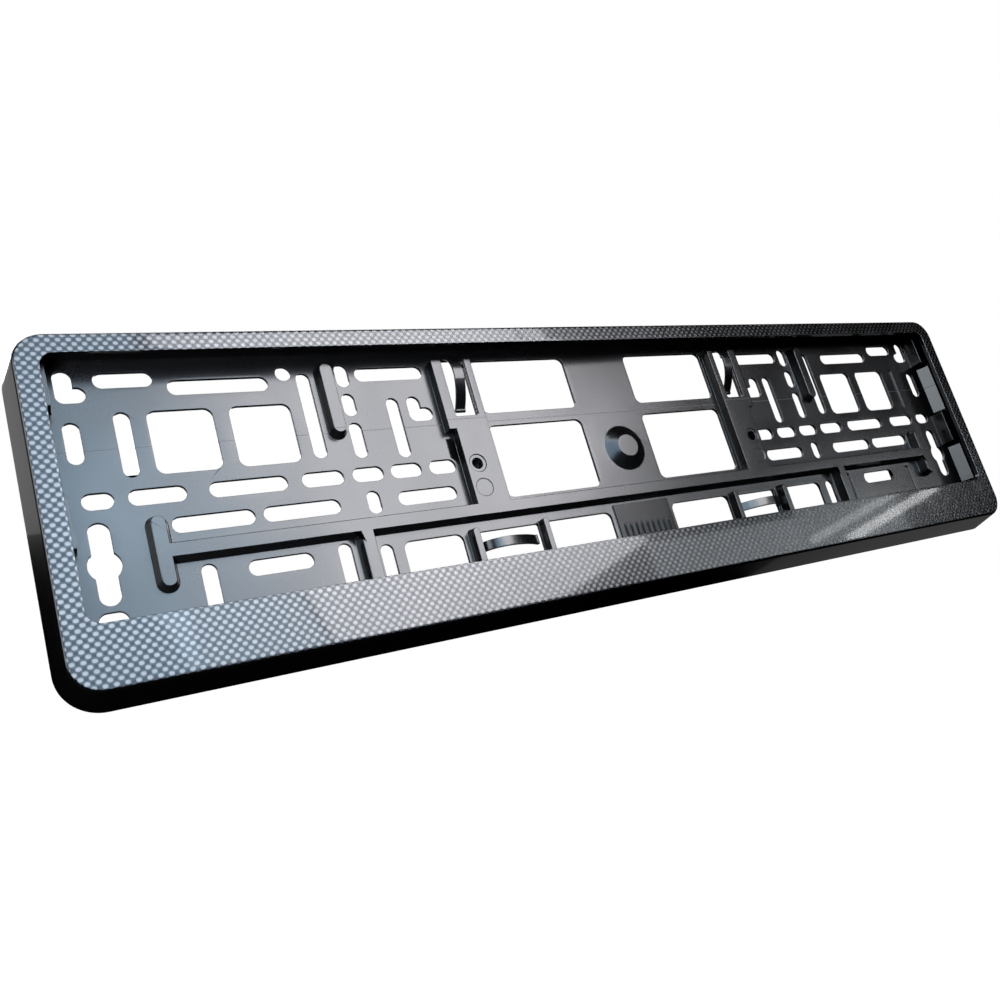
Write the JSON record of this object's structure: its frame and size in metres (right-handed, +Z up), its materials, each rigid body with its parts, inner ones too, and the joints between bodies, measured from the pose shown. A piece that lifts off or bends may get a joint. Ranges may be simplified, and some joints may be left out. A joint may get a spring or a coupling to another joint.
{
  "type": "number plate holder",
  "caption": "Two-part car number plate holder: a slotted carrier panel with raised bars and leaf springs, and a clip-on frame with a woven-look face.",
  "frame": {"origin": "middle of the holder on the rear mounting face, which lies in the plane Y = 0", "axes": "+X along the width, +Z up as fitted on a car, -Y out of the front face"},
  "size_m": [0.5342, 0.016, 0.138],
  "materials": {
    "printed_frame": "gloss",
    "carrier_plastic": "satin"
  },
  "bodies": {
    "root": {"front_frame": "printed_frame", "base_plate": "carrier_plastic"}
  },
  "joints": []
}
